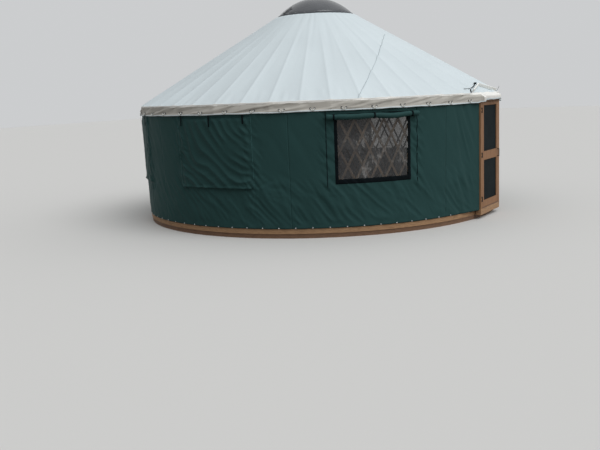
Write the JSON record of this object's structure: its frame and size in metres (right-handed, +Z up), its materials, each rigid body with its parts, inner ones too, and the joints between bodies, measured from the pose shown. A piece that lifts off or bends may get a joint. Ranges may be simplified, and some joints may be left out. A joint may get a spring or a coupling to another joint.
{
  "type": "yurt",
  "caption": "Round fabric-covered yurt on a timber platform, with lattice wall, rafters, conical roof, domed skylight, roll-up window flaps and a hinged screen door.",
  "frame": {"origin": "centre of the platform's underside, on the ground", "axes": "+Z up, the screen door faces -Y"},
  "size_m": [7.5512, 7.5894, 4.3874],
  "materials": {
    "platform_wood": "satin",
    "skirt_wood": "satin",
    "lattice_wood": "satin",
    "rafter_wood": "satin",
    "door_wood": "satin",
    "cable_steel": "satin",
    "roof_vinyl": "satin",
    "valance_fabric": "matte",
    "wall_fabric": "matte",
    "clear_vinyl": "gloss",
    "smoked_plastic": "gloss",
    "screen_mesh": "matte",
    "black_metal": "satin",
    "curb_metal": "satin"
  },
  "bodies": {
    "yurt": {"platform_skirt": "skirt_wood", "platform_joists": "skirt_wood", "platform_deck": "platform_wood", "platform_rim": "platform_wood", "door_landing": "platform_wood", "lattice_1": "lattice_wood", "lattice_2": "lattice_wood", "lattice_3": "lattice_wood", "lattice_4": "lattice_wood", "lattice_5": "lattice_wood", "lattice_6": "lattice_wood", "tension_cable": "cable_steel", "rafters": "rafter_wood", "centre_ring": "rafter_wood", "roof_cover": "roof_vinyl", "door_awning": "roof_vinyl", "rain_bar": "roof_vinyl", "roof_valance": "valance_fabric", "skylight_curb": "curb_metal", "skylight_dome": "smoked_plastic", "wall_cover_1": "wall_fabric", "wall_cover_2": "wall_fabric", "wall_cover_3": "wall_fabric", "wall_cover_4": "wall_fabric", "wall_cover_5": "wall_fabric", "wall_cover_6": "wall_fabric", "wall_cover_7": "wall_fabric", "wall_cover_door_left": "wall_fabric", "wall_cover_door_right": "wall_fabric", "window_panes": "clear_vinyl", "closed_flaps": "wall_fabric", "rolled_flaps": "wall_fabric", "door_jamb_left": "door_wood", "door_jamb_right": "door_wood", "door_threshold": "door_wood", "door_header": "door_wood", "hinge_frame_plates": "black_metal"},
    "screen_door": {"door_leaf": "door_wood", "upper_screen": "screen_mesh", "lower_screen": "screen_mesh", "hinge_leaf_plates": "black_metal", "door_handle": "black_metal"}
  },
  "joints": [
    {"name": "door_hinge", "type": "hinge", "parent": "yurt", "child": "screen_door", "pos_m": [-0.4645, -3.747, 1.19], "axis": [0, 0, -1], "range_deg": [0, 110]}
  ]
}
